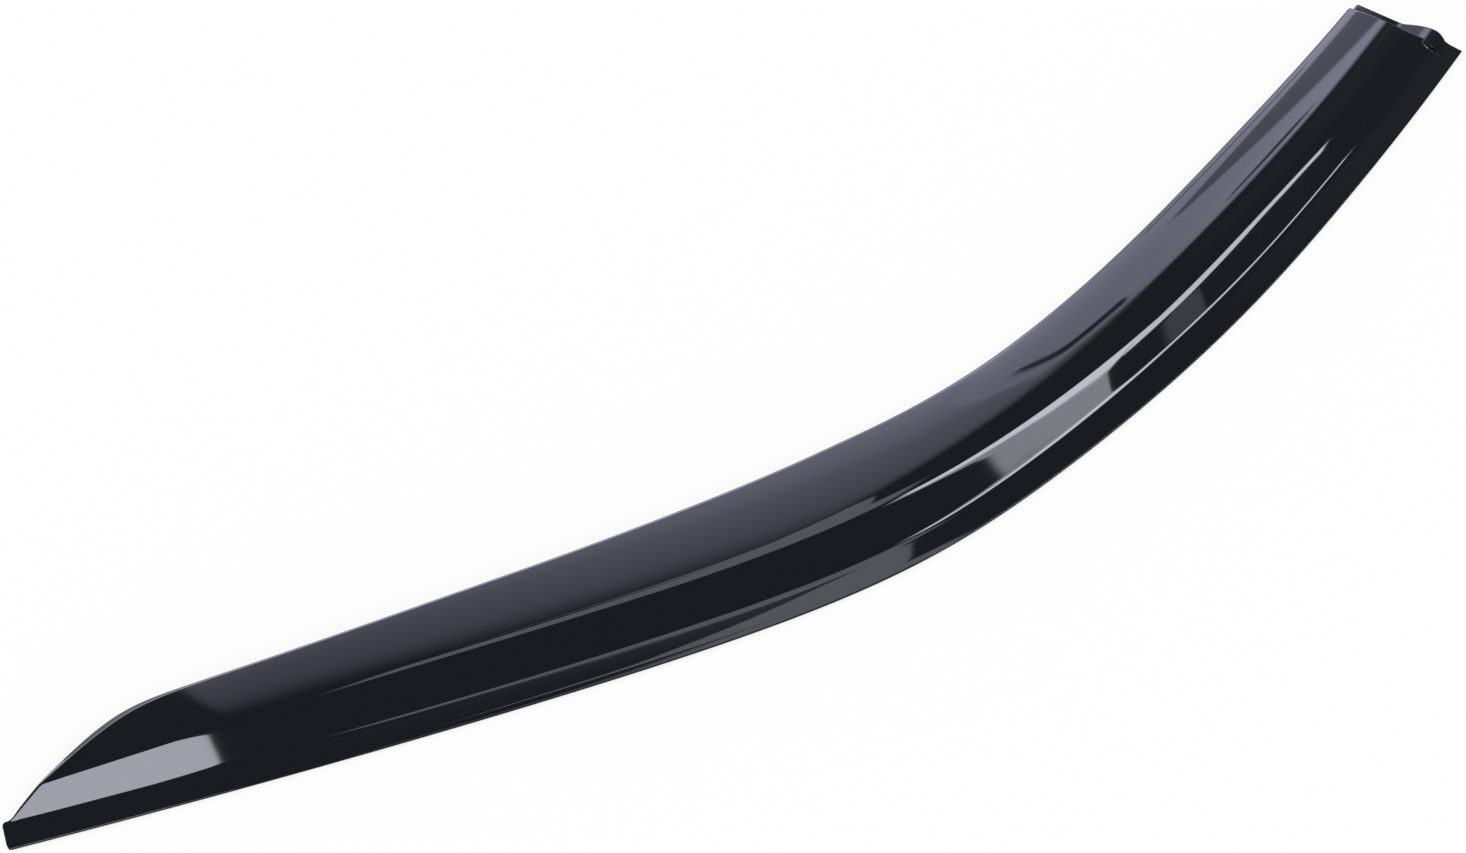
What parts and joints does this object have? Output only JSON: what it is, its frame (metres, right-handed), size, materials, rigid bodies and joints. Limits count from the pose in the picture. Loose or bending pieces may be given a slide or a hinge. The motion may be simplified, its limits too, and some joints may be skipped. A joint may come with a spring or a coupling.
{
  "type": "window rain deflector",
  "caption": "Slim curved rain deflector for a front door window: flat bonding flange, riser and crowned gloss visor face, pointed tip and square footed end, with foam tape beneath.",
  "frame": {"origin": "middle of the part's plan box, on the plane of the tape faces that bond to the door frame", "axes": "+X along the chord from the pointed tip to the square end, +Y from the flange towards the free edge, +Z out of the car, away from the door frame"},
  "size_m": [0.968, 0.1754, 0.018],
  "materials": {
    "gloss_shell": "high gloss moulded acrylic, very dark smoke that reads as black",
    "foam_tape": "matte closed-cell acrylic foam"
  },
  "bodies": {
    "root": {"deflector_shell": "gloss_shell", "pillar_tape": "foam_tape", "bend_tape": "foam_tape", "roof_tape": "foam_tape", "foot_tape": "foam_tape"}
  },
  "joints": []
}
